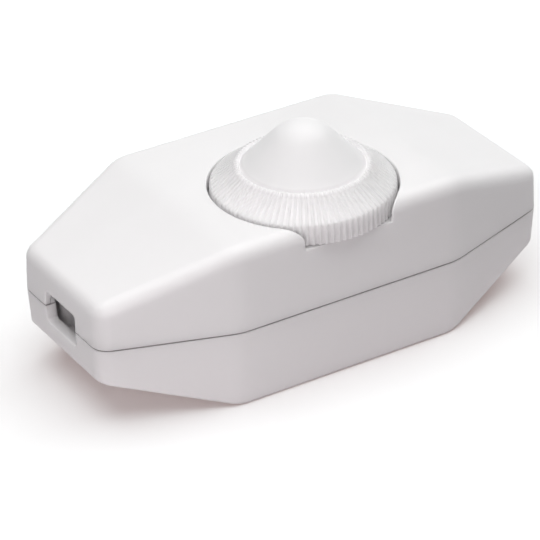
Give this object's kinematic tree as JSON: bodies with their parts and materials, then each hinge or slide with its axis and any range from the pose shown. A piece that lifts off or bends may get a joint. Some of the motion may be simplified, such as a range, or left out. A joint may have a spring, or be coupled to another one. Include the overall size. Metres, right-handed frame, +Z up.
{
  "type": "in-line rotary cord dimmer",
  "caption": "White faceted two-part plastic case for a lamp cord, with a ribbed cone-topped dimmer knob set in a round well that breaks through one long side, and a cord slot at each end.",
  "frame": {"origin": "centre of the flat underside of the case", "axes": "+X along the case towards the output cord, +Z up through the knob's side, -Y towards the long side that the knob breaks through"},
  "size_m": [0.09, 0.0437, 0.0421],
  "materials": {
    "case_white": "satin moulded white",
    "knob_white": "satin moulded white",
    "screw_steel": "zinc plated",
    "board_laminate": "phenolic paper laminate",
    "can_steel": "drawn",
    "carbon_track": "carbon film on laminate",
    "contact_brass": "turned",
    "shaft_steel": "turned",
    "black_moulding": "matt moulded",
    "tinned_metal": "tinned",
    "sink_aluminium": "plain rolled",
    "ferrite": "sintered",
    "copper_wire": "enamelled",
    "capacitor_yellow": "moulded",
    "capacitor_red": "dipped",
    "resistor_tan": "lacquered",
    "diode_blue": "lacquered glass",
    "fuse_glass": "clear",
    "terminal_grey": "matt moulded",
    "clamp_grey": "matt moulded"
  },
  "bodies": {
    "case": {"upper_shell": "case_white", "lower_shell": "case_white", "case_screws": "screw_steel", "circuit_board": "board_laminate", "board_screws": "screw_steel", "potentiometer_case": "can_steel", "resistance_track": "carbon_track", "potentiometer_pins": "contact_brass", "potentiometer_bush": "contact_brass", "switch_case": "black_moulding", "switch_pins": "contact_brass", "triac_package": "black_moulding", "triac_tab": "tinned_metal", "triac_legs": "tinned_metal", "heat_sink": "sink_aluminium", "heat_sink_screw": "screw_steel", "choke_core": "ferrite", "choke_winding": "copper_wire", "suppression_capacitor": "capacitor_yellow", "timing_capacitor": "capacitor_red", "resistors": "resistor_tan", "trigger_diode": "diode_blue", "fuse_tube": "fuse_glass", "fuse_wire": "tinned_metal", "fuse_caps": "tinned_metal", "fuse_clips": "tinned_metal", "input_terminal": "terminal_grey", "output_terminal": "terminal_grey", "terminal_pillars": "contact_brass", "terminal_screws": "screw_steel", "input_cord_clamp": "clamp_grey", "output_cord_clamp": "clamp_grey", "clamp_screws": "screw_steel"},
    "knob": {"dimmer_knob": "knob_white", "potentiometer_shaft": "shaft_steel", "wiper_carrier": "black_moulding", "wiper_contact": "contact_brass"}
  },
  "joints": [
    {"name": "knob_turn", "type": "hinge", "parent": "case", "child": "knob", "pos_m": [0, -0.0063, 0.027], "axis": [0, 0, -1], "range_deg": [0, 270]}
  ]
}
